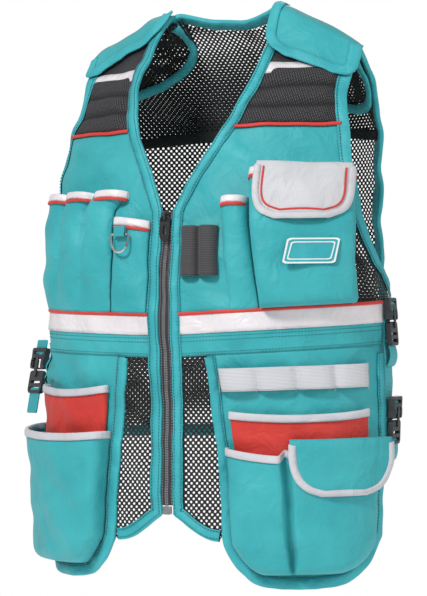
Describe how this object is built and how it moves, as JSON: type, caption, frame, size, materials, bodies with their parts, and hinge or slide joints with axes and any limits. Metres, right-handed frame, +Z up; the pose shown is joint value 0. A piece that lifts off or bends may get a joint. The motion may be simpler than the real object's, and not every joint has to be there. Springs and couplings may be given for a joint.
{
  "type": "utility work vest",
  "caption": "Sleeveless work vest with mesh back, zip front, padded shoulders, reflective tapes and tool pockets, held up as worn.",
  "frame": {"origin": "middle of the neck, level with the top of the shoulder ridge, where a wearer's shoulders carry the vest", "axes": "+Z up, the front faces -Y, +X is the wearer's left"},
  "size_m": [0.4832, 0.2684, 0.6868],
  "materials": {
    "teal_cloth": "woven polyester",
    "red_cloth": "woven polyester",
    "reflective_tape": "woven reflective tape",
    "grey_cloth": "woven polyester",
    "black_mesh": "knitted net",
    "air_mesh": "spacer knit",
    "elastic": "woven elastic",
    "black_plastic": "moulded",
    "zip_metal": "polished",
    "zip_black": "dark coated"
  },
  "bodies": {
    "vest": {"shoulder_strap_left": "black_mesh", "yoke_mesh_left": "air_mesh", "yoke_tape_left": "reflective_tape", "yoke_piping_left": "red_cloth", "chest_panel_left": "teal_cloth", "waist_belt_left": "teal_cloth", "waist_tape_left": "reflective_tape", "side_mesh_left": "black_mesh", "gusset_mesh_left": "black_mesh", "skirt_panel_left": "teal_cloth", "front_binding_left": "teal_cloth", "armhole_binding_left": "teal_cloth", "skirt_binding_left": "teal_cloth", "shoulder_pad_left": "teal_cloth", "shoulder_lining_left": "black_mesh", "shoulder_tape_left": "reflective_tape", "shoulder_strap_right": "black_mesh", "yoke_mesh_right": "air_mesh", "yoke_tape_right": "reflective_tape", "yoke_piping_right": "red_cloth", "chest_panel_right": "teal_cloth", "waist_belt_right": "teal_cloth", "waist_tape_right": "reflective_tape", "side_mesh_right": "black_mesh", "gusset_mesh_right": "black_mesh", "skirt_panel_right": "teal_cloth", "front_binding_right": "teal_cloth", "armhole_binding_right": "teal_cloth", "skirt_binding_right": "teal_cloth", "shoulder_pad_right": "teal_cloth", "shoulder_lining_right": "black_mesh", "shoulder_tape_right": "reflective_tape", "back_panel": "black_mesh", "back_yoke": "black_mesh", "back_neck_binding": "teal_cloth", "back_hem_binding": "teal_cloth", "tool_pockets_right": "teal_cloth", "slant_pocket_right": "teal_cloth", "elastic_loops_left": "elastic", "pen_pocket_left": "teal_cloth", "chest_pocket_left": "teal_cloth", "chest_flap_left": "grey_cloth", "red_pocket_left": "red_cloth", "red_pocket_right": "red_cloth", "holster_pocket_right": "teal_cloth", "pouch_left": "teal_cloth", "pouch_flap_left": "teal_cloth", "webbing_loops_left": "grey_cloth", "zip_tape": "zip_black", "zip_box": "zip_metal", "zip_slider": "zip_black", "ring_tab": "red_cloth", "name_patch": "teal_cloth", "side_strap_left": "teal_cloth", "side_strap_right": "teal_cloth", "side_buckle_left_upper": "black_plastic", "side_buckle_left_lower": "black_plastic", "side_buckle_right": "black_plastic"},
    "ring": {"d_ring": "zip_metal"},
    "pull": {"zip_pull": "zip_black"}
  },
  "joints": [
    {"name": "ring_swing", "type": "hinge", "parent": "vest", "child": "ring", "pos_m": [-0.05498, -0.1459, -0.2691], "axis": [-0.9957, 0.0921, -0.0032], "range_deg": [0, 110]},
    {"name": "pull_swing", "type": "hinge", "parent": "vest", "child": "pull", "pos_m": [0, -0.13611, -0.24974], "axis": [-1, 0, 0], "range_deg": [0, 100]}
  ]
}
